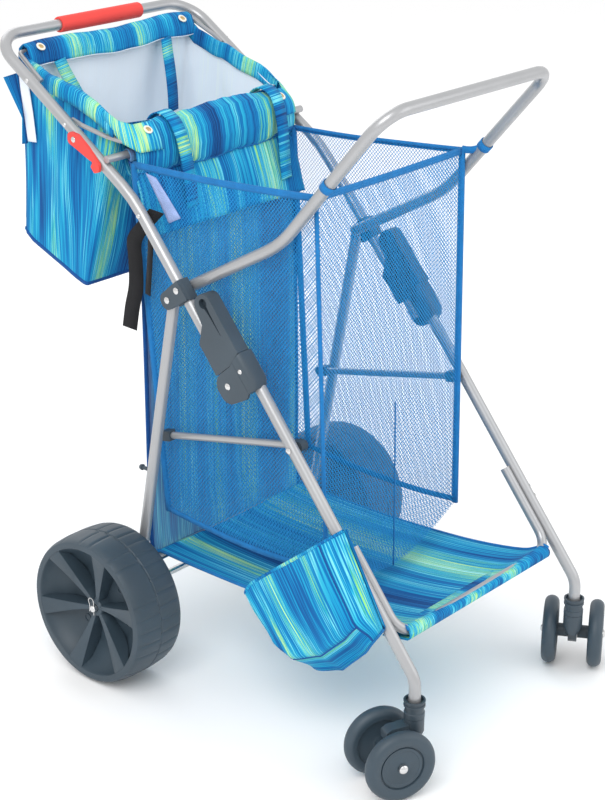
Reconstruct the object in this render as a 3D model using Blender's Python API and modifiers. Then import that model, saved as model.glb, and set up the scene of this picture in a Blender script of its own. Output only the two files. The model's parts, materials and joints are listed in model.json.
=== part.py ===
"""Folding beach cart: bent tube frame, mesh basket, tote bag, two wide rear wheels and two twin casters.

Metres, +Z up. The casters lead at -Y, the handle and the wide wheels are at +Y, and X runs across.
Side views are written as (y, z) pairs measured from a point on the ground below the rear axle.
"""

import math

import bmesh
import bpy
from mathutils import Matrix, Vector

# Driving dimensions
REAR_AXLE_Y = 0.1561            # puts the middle of the whole cart at y = 0
GAP = 0.0003                    # left between pieces that touch
TUBE = 0.0095                   # radius of the frame tube
RAIL_X = 0.225                  # rails of the handle frame, half spacing
LEG_X = 0.2148                  # front legs
REAR_LEG_X = 0.2225
LOOP_X = 0.2021                 # basket loop
TRAY_X = 0.1967                 # tray loop arms, inboard of the front legs
TRAY_TUBE = 0.0080
STRUT_X = 0.1945
STRUT = 0.0058
WHEEL_RADIUS = 0.127
WHEEL_OUT = 0.3433              # outer face of a rear wheel
WHEEL_WIDTH = 0.100
AXLE = 0.006
CASTER_RADIUS = 0.0568
CASTER_TRAIL = 0.040
CASTER_SPACING = 0.0755         # between the middles of a caster's two wheels
CASTER_WHEEL = 0.024            # width of one small wheel
CASTER_TURN = {"right": 63.9, "left": -60.1}

# Places in the side view
KNEE = (-0.2262, 0.5545)        # the front frame folds here
SHOULDER = (-0.0985, 0.6646)    # the rear legs fold here
LOOP_ROOT = (-0.1184, 0.6845)   # the basket loop folds here
STRUT_FRONT = (-0.3365, 0.4745)
STRUT_REAR = (-0.0465, 0.4100)
RAIL_BEND = (-0.0146, 0.8094)
HANDLE = (0.3038, 1.0198)
LOOP_BEND = (-0.3003, 0.7875)
LOOP_TIP = (-0.4936, 1.0148)
LEG_KNEE = (-0.5808, 0.1719)
TRAY_TIP = (-0.5374, 0.2218)
HOOK_PIVOT = (0.1014, 0.8865)
CROSS_TUBE = (0.0375, 0.8634)
REAR_CROSS = (-0.0088, 0.1750)
AXLE_AT = (0.0, WHEEL_RADIUS)
RAIL_ANGLE = math.atan2(RAIL_BEND[1] - KNEE[1], RAIL_BEND[0] - KNEE[0])

# Soft goods, outer sizes
SOFT_X = 0.185
TOTE_X = 0.188
BASKET_Y = (-0.375, -0.012)
BASKET_Z = (0.255, 0.862)
WALL = 0.005

SIDES = (("right", -1), ("left", 1))


# ---------------------------------------------------------------- scene helpers

def clear_scene():
    for obj in list(bpy.data.objects):
        bpy.data.objects.remove(obj, do_unlink=True)


def new_collection(name):
    group = bpy.data.collections.new(name)
    bpy.context.scene.collection.children.link(group)
    return group


clear_scene()
CART = new_collection("beach_cart")
CUTTERS = new_collection("cutters")
CUTTERS.hide_render = True
BODIES = {}
MATERIALS = {}


def material(name, colour, roughness, metallic=0.0):
    if name not in MATERIALS:
        made = bpy.data.materials.new(name)
        made.use_nodes = True
        shader = made.node_tree.nodes["Principled BSDF"]
        shader.inputs["Base Color"].default_value = (*colour, 1.0)
        shader.inputs["Roughness"].default_value = roughness
        shader.inputs["Metallic"].default_value = metallic
        MATERIALS[name] = made
    return MATERIALS[name]


def silver():
    return material("silver_tube", (0.55, 0.56, 0.57), 0.38, 0.7)


def grey_plastic():
    return material("grey_plastic", (0.09, 0.10, 0.12), 0.5)


def red_foam():
    return material("red_foam", (0.78, 0.07, 0.06), 0.7)


def steel():
    return material("steel", (0.62, 0.62, 0.64), 0.3, 1.0)


def blue_mesh():
    return material("blue_mesh", (0.05, 0.22, 0.60), 0.8)


def striped_cloth():
    return material("striped_cloth", (0.03, 0.33, 0.62), 0.85)


def at(x, place):
    """World point of a (y, z) place in the side view at a lateral position x."""
    return Vector((x, place[0] + REAR_AXLE_Y, place[1]))


def body(name, location, turn=0.0):
    """An empty on the joint axis of one moving body."""
    empty = bpy.data.objects.new(name + "_axis", None)
    empty.location = location
    empty.rotation_euler = (0.0, 0.0, turn)
    CART.objects.link(empty)
    BODIES[name] = empty
    return empty


def adopt(obj, owner, local=False):
    """Parents obj to a body's empty. Its place stays in world space unless local is set."""
    empty = BODIES[owner]
    obj.parent = empty
    if not local:
        obj.location = obj.location - empty.location
    return obj


def finish(obj, name, owner, paint, local=False):
    obj.name = name
    obj.data.materials.clear()
    obj.data.materials.append(paint)
    if obj.type == "MESH":
        obj.data.shade_smooth()
        obj.data.set_sharp_from_angle(angle=math.radians(35))
    return adopt(obj, owner, local)


# ---------------------------------------------------------------- shape helpers

def fillet(points, radii, step=15.0):
    """A line of points whose inner corners are arcs of the given radii, in 2 or 3 dimensions."""
    points = [Vector(point) for point in points]
    line = [points[0]]
    for before, corner, after, radius in zip(points, points[1:], points[2:], radii):
        inward = (before - corner).normalized()
        outward = (after - corner).normalized()
        angle = inward.angle(outward)
        if radius <= 0 or angle > math.pi - 0.01:
            line.append(corner)
            continue
        middle = corner + (inward + outward).normalized() * (radius / math.sin(angle / 2))
        start = corner + inward * (radius / math.tan(angle / 2)) - middle
        end = corner + outward * (radius / math.tan(angle / 2)) - middle
        turn = math.pi - angle
        count = max(2, math.ceil(math.degrees(turn) / step))
        for index in range(count + 1):
            part = index / count
            swing = (start * math.sin((1 - part) * turn) + end * math.sin(part * turn)) / math.sin(turn)
            line.append(middle + swing)
    line.append(points[-1])
    return line


def fillet_loop(outline, radii):
    """A closed outline with rounded corners."""
    count = len(outline)
    line = []
    for index in range(count):
        trio = [outline[index - 1], outline[index], outline[(index + 1) % count]]
        line.extend(fillet(trio, [radii[index]])[1:-1])
    return line


def rod(points, radius, resolution=4):
    """A tube along a line of world points, with filled ends."""
    curve = bpy.data.curves.new("rod", "CURVE")
    curve.dimensions = "3D"
    curve.bevel_depth = radius
    curve.bevel_resolution = resolution
    curve.use_fill_caps = True
    spline = curve.splines.new("POLY")
    spline.points.add(len(points) - 1)
    for target, point in zip(spline.points, points):
        target.co = (*point, 1.0)
    made = bpy.data.objects.new("rod", curve)
    CART.objects.link(made)
    return made


def slab(outline, low, high, lean=None):
    """An outline in the side view, extruded across from x = low to x = high."""
    curve = bpy.data.curves.new("slab", "CURVE")
    curve.dimensions = "2D"
    curve.fill_mode = "BOTH"
    curve.extrude = (high - low) / 2
    spline = curve.splines.new("POLY")
    spline.points.add(len(outline) - 1)
    spline.use_cyclic_u = True
    for target, point in zip(spline.points, outline):
        target.co = (point[0], point[1], 0.0, 1.0)
    made = bpy.data.objects.new("slab", curve)
    made.matrix_basis = lean or Matrix(((0, 0, 1, (low + high) / 2), (1, 0, 0, REAR_AXLE_Y),
                                        (0, 1, 0, 0), (0, 0, 0, 1)))
    CART.objects.link(made)
    return as_mesh(made)


def as_mesh(source):
    """A curve's evaluated shape as a mesh object in the same place, with its caps welded."""
    bpy.context.view_layer.update()
    graph = bpy.context.evaluated_depsgraph_get()
    mesh = bpy.data.meshes.new_from_object(source.evaluated_get(graph))
    shape = bmesh.new()
    shape.from_mesh(mesh)
    bmesh.ops.remove_doubles(shape, verts=shape.verts, dist=0.00001)
    bmesh.ops.recalc_face_normals(shape, faces=shape.faces)
    shape.to_mesh(mesh)
    shape.free()
    made = bpy.data.objects.new("solid", mesh)
    made.matrix_world = source.matrix_world
    CART.objects.link(made)
    bpy.data.objects.remove(source, do_unlink=True)
    return made


def ahead_of_rail(place):
    """How far a (y, z) place lies in front of the rail's axis."""
    return (place[1] - KNEE[1]) * math.cos(RAIL_ANGLE) - (place[0] - KNEE[0]) * math.sin(RAIL_ANGLE)


def round_front(obj, radius, least):
    """Rounds both side edges of a slab's front, where they lie further than least ahead of the rail."""
    shape = bmesh.new()
    shape.from_mesh(obj.data)
    bmesh.ops.dissolve_limit(shape, angle_limit=0.01, verts=shape.verts, edges=shape.edges)
    edges = [edge for edge in shape.edges
             if edge.calc_face_angle(0.0) > 1.0
             and abs(edge.verts[0].co.z - edge.verts[1].co.z) < 0.0001
             and all(ahead_of_rail(vert.co) > least for vert in edge.verts)]
    bmesh.ops.bevel(shape, geom=edges, offset=radius, segments=4, profile=0.5, affect="EDGES",
                    clamp_overlap=True)
    bmesh.ops.recalc_face_normals(shape, faces=shape.faces)
    shape.to_mesh(obj.data)
    shape.free()
    return obj


def turned(profile, steps, place, axis="X", closed=False):
    """A profile of (radius, height) pairs turned about an axis that points along +X or +Z."""
    mesh = bpy.data.meshes.new("profile")
    edges = [(index, index + 1) for index in range(len(profile) - 1)]
    if closed:
        edges.append((len(profile) - 1, 0))
    mesh.from_pydata([(radius, 0.0, height) for radius, height in profile], edges, [])
    made = bpy.data.objects.new("turned", mesh)
    screw = made.modifiers.new("turn", "SCREW")
    screw.steps = steps
    screw.render_steps = steps
    screw.use_merge_vertices = True
    screw.merge_threshold = 0.00001
    screw.use_smooth_shade = True
    made.location = place
    if axis == "X":
        made.rotation_euler = (0.0, math.pi / 2, 0.0)
    CART.objects.link(made)
    return made


def cylinder(place, radius, length, axis="X", sides=16):
    """A plain cylinder centred on a place, used as a pin or as a drill."""
    mesh = bpy.data.meshes.new("cylinder")
    shape = bmesh.new()
    bmesh.ops.create_cone(shape, cap_ends=True, segments=sides, radius1=radius, radius2=radius,
                          depth=length)
    turn = {"X": Matrix.Rotation(math.pi / 2, 4, "Y"), "Y": Matrix.Rotation(math.pi / 2, 4, "X"),
            "Z": Matrix.Identity(4)}[axis]
    bmesh.ops.transform(shape, matrix=turn, verts=shape.verts)
    shape.to_mesh(mesh)
    shape.free()
    made = bpy.data.objects.new("cylinder", mesh)
    made.location = place
    CART.objects.link(made)
    return made


def combine(target, other, operation="DIFFERENCE"):
    """Cuts another object from target, or joins it on. The other object becomes a hidden helper."""
    CART.objects.unlink(other)
    CUTTERS.objects.link(other)
    other.hide_render = True
    other.display_type = "WIRE"
    step = target.modifiers.new("join" if operation == "UNION" else "cut", "BOOLEAN")
    step.operation = operation
    step.solver = "EXACT"
    step.object = other
    return target


def drill(target, place, radius, length, axis="X", sides=16):
    return combine(target, cylinder(place, radius, length, axis, sides))


def along_rail(reach, offset):
    """A (y, z) place given by its distance up the rail from the knee and in front of the rail's axis."""
    return (KNEE[0] + reach * math.cos(RAIL_ANGLE) - offset * math.sin(RAIL_ANGLE),
            KNEE[1] + reach * math.sin(RAIL_ANGLE) + offset * math.cos(RAIL_ANGLE))


def rivet(place, head_x, tip_x, radius=0.003, head=0.0055):
    """A domed rivet across the cart: its head at head_x, its shank ending at tip_x."""
    length = abs(head_x - tip_x)
    profile = [(0.0, length + 0.0022), (head * 0.65, length + 0.0018), (head, length + 0.0004),
               (head, length), (radius, length), (radius, 0.0), (0.0, 0.0)]
    made = turned(profile, 14, at(tip_x, place))
    if head_x < tip_x:
        made.rotation_euler = (0.0, -math.pi / 2, 0.0)
    return made


# ---------------------------------------------------------------- handle frame

def rail_point(reach):
    return along_rail(reach, 0.0)


def handle_tube():
    route = [at(-RAIL_X, rail_point(-0.011)), at(-RAIL_X, RAIL_BEND), at(-RAIL_X, HANDLE),
             at(RAIL_X, HANDLE), at(RAIL_X, RAIL_BEND), at(RAIL_X, rail_point(-0.011))]
    tube = as_mesh(rod(fillet(route, [0.20, 0.055, 0.055, 0.20], 9.0), TUBE))
    for _, side in SIDES:
        for place in (KNEE, LOOP_ROOT):
            drill(tube, at(side * RAIL_X, place), 0.0034, 0.04, sides=12)
    finish(tube, "handle_tube", "handle_frame", silver())


def handle_grip():
    inner = TUBE + GAP
    half = 0.0935
    profile = [(inner, half), (0.0128, half), (0.0135, half - 0.002), (0.0135, -half + 0.002),
               (0.0128, -half), (inner, -half)]
    grip = turned(profile, 20, at(0.0115, HANDLE), closed=True)
    finish(grip, "handle_grip", "handle_frame", red_foam())


def cross_tube():
    half = RAIL_X + 0.006
    tube = rod([at(-half, CROSS_TUBE), at(half, CROSS_TUBE)], 0.0062)
    finish(tube, "cross_tube", "handle_frame", silver())


def bag_supports():
    """Two bent wires that hold up the front and rear hems of the tote bag."""
    front = [(0.2108, (0.135, 0.9085)), (0.2108, (0.112, 0.902)), (0.1950, (0.0725, 0.8873)),
             (0.1950, (0.0345, 0.8850))]
    rear = [(0.2108, (0.2050, 0.9600)), (0.2108, (0.2200, 0.9700)), (0.2010, (0.2685, 0.9960))]
    for name, half in (("bag_loop", front), ("bag_rear_rod", rear)):
        route = [at(-x, place) for x, place in half] + [at(x, place) for x, place in reversed(half)]
        wire = rod(fillet(route, [0.008] * (len(route) - 2), 22.0), 0.0038, 2)
        finish(wire, name, "handle_frame", silver())


def rail_bracket(word, side):
    inner, face = 0.2121, 0.2395
    edge = TUBE + 0.003
    low, high = sorted((side * inner, side * (face - 0.0030)))
    block = [along_rail(0.1460, -edge), along_rail(0.1460, edge), along_rail(0.1815, edge),
             along_rail(0.1815, -edge)]
    bracket = round_front(slab(block, low, high), 0.0055, 0.0100)
    cheek_low, cheek_high = sorted((side * (REAR_LEG_X + TUBE + 0.0005), side * face))
    tail = [along_rail(0.1465, edge - 0.0005), along_rail(0.1810, edge - 0.0005),
            along_rail(0.1800, -0.0420), along_rail(0.1525, -0.0420)]
    cheek = slab(fillet_loop(tail, [0.0015, 0.0015, 0.0130, 0.0130]), cheek_low, cheek_high)
    combine(bracket, cheek, "UNION")
    bore = rod([at(side * RAIL_X, along_rail(0.12, 0.0)), at(side * RAIL_X, along_rail(0.22, 0.0))],
               TUBE + GAP)
    combine(bracket, as_mesh(bore))
    for place in (LOOP_ROOT, SHOULDER):
        drill(bracket, at(side * RAIL_X, place), 0.0034, 0.04, sides=12)
    finish(bracket, "rail_bracket_" + word, "handle_frame", grey_plastic())
    pin = rivet(SHOULDER, side * (face + GAP), side * (REAR_LEG_X - TUBE - 0.001))
    finish(pin, "shoulder_pin_" + word, "handle_frame", steel())
    pin = rivet(LOOP_ROOT, side * (face + GAP), side * (LOOP_X - TUBE - 0.001))
    finish(pin, "loop_pin_" + word, "handle_frame", steel())


def latch_hook():
    """The transport hook: a flat claw on the outer side of the right rail."""
    outline = [(0.1150, 0.8990), (0.0920, 0.8960), (0.0700, 0.8800), (0.0450, 0.8560), (0.0450, 0.8430),
               (0.0560, 0.8400), (0.0640, 0.8490), (0.0590, 0.8570), (0.0700, 0.8610), (0.0860, 0.8680),
               (0.1000, 0.8740), (0.1150, 0.8800)]
    radii = [0.008, 0.006, 0.004, 0.004, 0.004, 0.003, 0.003, 0.002, 0.003, 0.003, 0.003, 0.008]
    outer = RAIL_X + TUBE
    hook = slab(fillet_loop(outline, radii), -outer - 0.0063, -outer - 0.0008)
    drill(hook, at(-outer, HOOK_PIVOT), 0.0028, 0.03, sides=12)
    finish(hook, "latch_hook", "hook", red_foam())
    pin = rivet(HOOK_PIVOT, -outer - 0.0066, -outer - GAP, 0.0024, 0.0048)
    finish(pin, "hook_rivet", "handle_frame", steel())


def lock_sleeve(word, side):
    """A sliding lock: a channel on the rail with a long lobe in front that carries the finger hole.

    A slot runs down from the hole and narrows to a slit."""
    low, high = sorted((side * 0.2121, side * 0.2378))
    outline = [(0.0240, -0.0125), (0.0240, 0.0256), (0.0335, 0.0525), (0.1420, 0.0525),
               (0.1420, 0.0215), (0.1010, 0.0128), (0.0800, -0.0125)]
    outline = [along_rail(reach, offset) for reach, offset in outline]
    sleeve = slab(fillet_loop(outline, [0.002, 0.0, 0.002, 0.0150, 0.0150, 0.004, 0.004]), low, high)
    round_front(sleeve, 0.0085, 0.0240)
    bore = rod([at(side * RAIL_X, along_rail(-0.02, 0.0)), at(side * RAIL_X, along_rail(0.16, 0.0))],
               TUBE + GAP)
    combine(sleeve, as_mesh(bore))
    drill(sleeve, at(side * (RAIL_X + 0.010), along_rail(0.1270, 0.0370)), 0.0080, 0.012, sides=20)
    slot = [along_rail(0.1240, 0.0335), along_rail(0.1240, 0.0415), along_rail(0.1080, 0.0400),
            along_rail(0.0700, 0.0385), along_rail(0.0700, 0.0378), along_rail(0.1080, 0.0362)]
    slot_low, slot_high = sorted((side * (RAIL_X + 0.0070), side * (RAIL_X + 0.0160)))
    combine(sleeve, slab(slot, slot_low, slot_high))
    finish(sleeve, "lock_sleeve_" + word, "sleeve_" + word, grey_plastic())


# ---------------------------------------------------------------- basket loop

def basket_loop():
    route = [at(-LOOP_X, (-0.1100, 0.6797)), at(-LOOP_X, LOOP_BEND), at(-LOOP_X, LOOP_TIP),
             at(LOOP_X, LOOP_TIP), at(LOOP_X, LOOP_BEND), at(LOOP_X, (-0.1100, 0.6797))]
    tube = as_mesh(rod(fillet(route, [0.18, 0.045, 0.045, 0.18], 9.0), TUBE))
    for _, side in SIDES:
        drill(tube, at(side * LOOP_X, LOOP_ROOT), 0.0034, 0.04, sides=12)
    finish(tube, "basket_loop", "basket_frame", silver())


# ---------------------------------------------------------------- front frame

def front_leg(word, side):
    top = along_rail(0.0170, 0.0370)
    route = [at(side * LEG_X, top), at(side * LEG_X, LEG_KNEE), at(side * LEG_X, (LEG_KNEE[0], 0.1190))]
    leg = as_mesh(rod(fillet(route, [0.040], 8.0), TUBE))
    drill(leg, at(side * LEG_X, STRUT_FRONT), 0.0027, 0.04, sides=12)
    finish(leg, "front_leg_" + word, "front_frame", silver())


def knee_bracket(word, side):
    inner, face = 0.2024, 0.2395
    low, high = sorted((side * inner, side * (face - GAP)))
    block = [along_rail(-0.0280, 0.0250), along_rail(0.0232, 0.0250), along_rail(0.0329, 0.0525),
             along_rail(-0.0170, 0.0525), along_rail(-0.0280, 0.0440)]
    bracket = round_front(slab(block, low, high), 0.0095, 0.0430)
    cheek_low, cheek_high = sorted((side * (RAIL_X + TUBE + 0.0005), side * face))
    cheek = [along_rail(-0.0240, -0.0225), along_rail(0.0225, -0.0225), along_rail(0.0232, 0.0256),
             along_rail(0.0257, 0.0330), along_rail(-0.0330, 0.0330), along_rail(-0.0330, 0.0200)]
    plate = slab(fillet_loop(cheek, [0.0215, 0.0215, 0.0, 0.0, 0.0105, 0.0105]), cheek_low, cheek_high)
    combine(bracket, plate, "UNION")
    bore = rod([at(side * LEG_X, along_rail(0.0174, 0.0370)), at(side * LEG_X, (-0.3200, 0.4966))],
               TUBE + GAP)
    combine(bracket, as_mesh(bore))
    drill(bracket, at(side * RAIL_X, KNEE), 0.0034, 0.05, sides=12)
    finish(bracket, "knee_bracket_" + word, "front_frame", grey_plastic())
    pin = rivet(KNEE, side * (face + GAP), side * (RAIL_X - TUBE - 0.001))
    finish(pin, "knee_pin_" + word, "front_frame", steel())


def tray_loop():
    reach = 0.150
    end = (TRAY_TIP[0] + 0.6257 * reach, TRAY_TIP[1] + 0.7801 * reach)
    route = [at(-TRAY_X, end), at(-TRAY_X, TRAY_TIP), at(TRAY_X, TRAY_TIP), at(TRAY_X, end)]
    tube = rod(fillet(route, [0.035, 0.035], 12.0), TRAY_TUBE)
    finish(tube, "tray_loop", "front_frame", silver())


def caster_socket(word, side):
    """The ribbed collar on the foot of a front leg. The leg sits in it from above."""
    inner = TUBE + GAP
    profile = [(0.0140, 0.1400), (0.0168, 0.1400), (0.0168, 0.1372), (0.0150, 0.1362), (0.0150, 0.1336),
               (0.0166, 0.1328), (0.0166, 0.1296), (0.0146, 0.1286), (0.0146, 0.1206), (0.0160, 0.1196),
               (0.0160, 0.1115), (0.0046, 0.1115), (0.0046, 0.1186), (inner, 0.1186), (inner, 0.1340),
               (0.0140, 0.1350)]
    socket = turned(profile, 20, at(side * LEG_X, (LEG_KNEE[0], 0.0)), axis="Z", closed=True)
    finish(socket, "caster_socket_" + word, "front_frame", grey_plastic())


# ---------------------------------------------------------------- casters

def caster_fork(word):
    """The arm between a caster's two wheels, with swivel housing, stem and tab. Local y is the trail."""
    outline = [(-0.0130, 0.1108), (-0.0130, 0.0960), (0.0100, 0.0560), (0.0270, 0.0430),
               (0.0560, 0.0430), (0.0560, 0.0720), (0.0330, 0.0800), (0.0130, 0.1040), (0.0130, 0.1108)]
    line = fillet_loop(outline, [0.0, 0.006, 0.012, 0.012, 0.0140, 0.0140, 0.010, 0.004, 0.0])
    lean = Matrix(((0, 0, 1, 0), (1, 0, 0, 0), (0, 1, 0, 0), (0, 0, 0, 1)))
    arm = slab(line, -0.0070, 0.0070, lean)
    profile = [(0.0, 0.1170), (0.0042, 0.1170), (0.0042, 0.1108), (0.0158, 0.1108), (0.0158, 0.0880),
               (0.0095, 0.0740), (0.0, 0.0740)]
    combine(arm, turned(profile, 20, Vector((0, 0, 0)), axis="Z"), "UNION")
    tab = [(0.0060, 0.0925), (0.0060, 0.1040), (0.0420, 0.1010), (0.0500, 0.0960), (0.0500, 0.0840),
           (0.0455, 0.0840), (0.0430, 0.0905)]
    combine(arm, slab(fillet_loop(tab, [0.0, 0.0, 0.012, 0.005, 0.0, 0.0, 0.004]), -0.0100, 0.0100, lean),
            "UNION")
    drill(arm, Vector((0, CASTER_TRAIL, CASTER_RADIUS)), 0.0043, 0.04)
    for helper in (step.object for step in arm.modifiers):
        helper.parent = BODIES["caster_" + word]
    finish(arm, "caster_fork_" + word, "caster_" + word, grey_plastic(), local=True)


def caster_axle(word):
    half = CASTER_SPACING / 2 + CASTER_WHEEL / 2
    top = half + 0.0012
    profile = [(0.0, top + 0.0035), (0.0045, top + 0.0028), (0.0072, top), (0.0072, half - 0.0040),
               (0.0040, half - 0.0040), (0.0040, -half + 0.0040), (0.0072, -half + 0.0040),
               (0.0072, -top), (0.0045, -top - 0.0028), (0.0, -top - 0.0035)]
    axle = turned(profile, 14, Vector((0, CASTER_TRAIL, CASTER_RADIUS)))
    finish(axle, "caster_axle_" + word, "caster_" + word, steel(), local=True)


def caster_wheel(word, which, sign):
    """A small wheel with a rounded tyre, a dished outer face and a hub that reaches the arm."""
    half = CASTER_WHEEL / 2
    hub = CASTER_SPACING / 2 - 0.0073
    outer = CASTER_RADIUS
    profile = [(0.0043, half - 0.0043), (0.0150, half - 0.0043), (0.0180, half - 0.0055),
               (0.0360, half - 0.0055), (0.0430, half), (0.0520, half - 0.0015),
               (outer, half - 0.0080), (outer, -half + 0.0080), (0.0520, -half + 0.0015),
               (0.0430, -half), (0.0110, -half + 0.0020), (0.0110, -hub), (0.0043, -hub)]
    if sign < 0:
        profile = [(radius, -height) for radius, height in reversed(profile)]
    place = Vector((sign * CASTER_SPACING / 2, CASTER_TRAIL, CASTER_RADIUS))
    wheel = turned(profile, 28, place, closed=True)
    finish(wheel, f"caster_wheel_{word}_{which}", "caster_" + word, grey_plastic(), local=True)


# ---------------------------------------------------------------- side struts

def side_strut(word, side):
    front, rear = Vector(STRUT_FRONT), Vector(STRUT_REAR)
    run = (rear - front).normalized()
    body_name = "strut_" + word
    bar = rod([at(side * STRUT_X, front + run * 0.0155), at(side * STRUT_X, rear - run * 0.0155)], STRUT, 3)
    finish(bar, "side_strut_" + word, body_name, silver())
    across = Vector((-run.y, run.x))
    low, high = sorted((side * (STRUT_X - 0.0066), side * (STRUT_X + 0.0082)))
    for which, pivot, sign in (("front", front, 1), ("rear", rear, -1)):
        width, back, ahead = across * 0.0085, run * sign * 0.0085, run * sign * 0.0150
        corners = [pivot + width - back, pivot + width + ahead, pivot - width + ahead,
                   pivot - width - back]
        cap = slab(fillet_loop(corners, [0.008, 0.001, 0.001, 0.008]), low, high)
        if which == "front":
            drill(cap, at(side * STRUT_X, pivot), 0.0027, 0.04, sides=12)
        finish(cap, f"strut_cap_{word}_{which}", body_name, grey_plastic())
    pin = rivet(STRUT_FRONT, side * (LEG_X + TUBE + GAP), side * (STRUT_X - 0.0060), 0.0024, 0.0050)
    finish(pin, "strut_pin_" + word, "front_frame", steel())


# ---------------------------------------------------------------- rear frame

def rear_leg(word, side):
    top, foot = Vector(SHOULDER), Vector(AXLE_AT)
    run = (foot - top).normalized()
    x = side * REAR_LEG_X
    leg = as_mesh(rod([at(x, top - run * 0.0090), at(x, foot + run * 0.014)], TUBE))
    drill(leg, at(side * REAR_LEG_X, SHOULDER), 0.0034, 0.04, sides=12)
    drill(leg, at(side * REAR_LEG_X, AXLE_AT), AXLE + GAP, 0.04)
    finish(leg, "rear_leg_" + word, "rear_frame", silver())
    washer = turned([(AXLE + GAP, 0.0052), (0.0105, 0.0052), (0.0105, -0.0052), (AXLE + GAP, -0.0052)], 18,
                    at(side * 0.2376, AXLE_AT), closed=True)
    finish(washer, "wheel_spacer_" + word, "rear_frame", grey_plastic())


def rear_axle():
    half = 0.3290
    profile = [(0.0, half), (0.0050, half), (AXLE, half - 0.0010), (AXLE, -half + 0.0010), (0.0050, -half),
               (0.0, -half)]
    axle = turned(profile, 16, at(0.0, AXLE_AT))
    for _, side in SIDES:
        drill(axle, at(side * 0.3250, AXLE_AT), 0.0014, 0.03, axis="Z", sides=10)
    finish(axle, "rear_axle", "rear_frame", steel())


def rear_cross_tube():
    half = REAR_LEG_X - TUBE - 0.0001
    tube = rod([at(-half, REAR_CROSS), at(half, REAR_CROSS)], 0.0070, 3)
    finish(tube, "rear_cross_tube", "rear_frame", silver())


def catch_pin():
    """The stud on the right rear leg that the hook catches when the cart is folded."""
    profile = [(0.0, 0.0180), (0.0042, 0.0170), (0.0052, 0.0140), (0.0052, 0.0120), (0.0032, 0.0110),
               (0.0032, 0.0), (0.0, 0.0)]
    place = at(-REAR_LEG_X, (-0.0308, 0.3530)) + Vector((0, 0.0002, 0))
    pin = turned(profile, 14, place, axis="Z")
    pin.rotation_euler = (-math.pi / 2, 0.0, 0.0)
    finish(pin, "catch_pin", "rear_frame", grey_plastic())


def rear_wheel(word, side):
    """A wide moulded wheel: crowned tread, deep dished outer face, flat inner face."""
    half = WHEEL_WIDTH / 2
    outer = WHEEL_RADIUS
    bore = AXLE + GAP
    profile = [(bore, half - 0.0220), (0.0200, half - 0.0240), (0.0240, half - 0.0300),
               (0.0900, half - 0.0200), (0.1060, half), (0.1190, half), (0.1225, half - 0.0030),
               (outer, half - 0.0300), (outer, -half + 0.0300), (0.1225, -half + 0.0030),
               (0.1190, -half), (0.1060, -half), (0.1000, -half + 0.0060),
               (0.0240, -half + 0.0060), (0.0200, -half), (bore, -half)]
    if side < 0:
        profile = [(radius, -height) for radius, height in reversed(profile)]
    wheel = turned(profile, 40, at(side * (WHEEL_OUT - half), AXLE_AT), closed=True)
    finish(wheel, "rear_wheel_" + word, "wheel_" + word, grey_plastic())


def cotter_pin(word, side):
    """A bent wire clip through the end of the axle."""
    x = side * 0.3250
    loop = [Vector((0.0, -0.0120)), Vector((0.0, 0.0110))]
    for index in range(9):
        angle = math.pi - math.pi * index / 8
        loop.append(Vector((0.0060 + 0.0060 * math.cos(angle), 0.0110 + 0.0060 * math.sin(angle))))
    loop += [Vector((0.0098, 0.0060)), Vector((0.0088, 0.0)), Vector((0.0100, -0.0080))]
    route = [at(x, (point.x, AXLE_AT[1] + point.y)) for point in loop]
    route.pop(2)
    wire = rod(route, 0.0010, 1)
    finish(wire, "cotter_pin_" + word, "rear_frame", steel())


# ---------------------------------------------------------------- soft goods

def mesh_basket():
    front, rear = BASKET_Y
    low, high = BASKET_Z
    outline = [(front + 0.02, low), (rear - 0.01, low), (rear, high), (front, high)]
    basket = slab(outline, -SOFT_X, SOFT_X)
    inside = [(front + 0.02 + WALL, low + WALL), (rear - 0.01 - WALL, low + WALL),
              (rear - WALL, high + 0.02), (front + WALL, high + 0.02)]
    combine(basket, slab(inside, -SOFT_X + WALL, SOFT_X - WALL))
    finish(basket, "mesh_basket", "handle_frame", blue_mesh())


def tote_outline(shrink, lift):
    """The bag's side view: a front that slants back to its foot, and a floor that rises to the rear."""
    return [(0.0520 + shrink, 0.8860 + lift), (0.1280 + shrink * 0.8, 0.6360 + shrink),
            (0.2870 - shrink, 0.6900 + shrink), (0.2850 - shrink, 0.9300),
            (0.2560 - shrink, 0.9850 + lift)]


def tote_bag():
    bag = slab(tote_outline(0.0, 0.0), -TOTE_X, TOTE_X)
    combine(bag, slab(tote_outline(WALL, 0.04), -TOTE_X + WALL, TOTE_X - WALL))
    finish(bag, "tote_bag", "handle_frame", striped_cloth())


def sheet(points, thickness, half, name, owner, paint):
    """A thin slab that follows a line of (y, z) places."""
    line = [Vector(point) for point in points]
    upper, lower = [], []
    for index, point in enumerate(line):
        ahead = line[min(index + 1, len(line) - 1)] - line[max(index - 1, 0)]
        normal = Vector((-ahead.y, ahead.x)).normalized() * (thickness / 2)
        upper.append(point + normal)
        lower.append(point - normal)
    finish(slab(upper + lower[::-1], -half, half), name, owner, paint)


def side_pocket():
    outline = [(-0.4440, 0.3720), (-0.3000, 0.2420), (-0.2720, 0.2100), (-0.3960, 0.1300),
               (-0.4540, 0.1500), (-0.5300, 0.2500)]
    outer = LEG_X + TUBE
    rounded = fillet_loop(outline, [0.006, 0.01, 0.01, 0.02, 0.02, 0.02])
    pouch = slab(rounded, -outer - 0.0330, -outer - 0.0010)
    mouth = [(-0.4640, 0.3820), (-0.2900, 0.2650), (-0.2500, 0.1950), (-0.3940, 0.1400),
             (-0.4480, 0.1580), (-0.5180, 0.2500)]
    combine(pouch, slab(mouth, -outer - 0.0290, -outer - 0.0050))
    finish(pouch, "side_pocket", "front_frame", striped_cloth())


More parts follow.
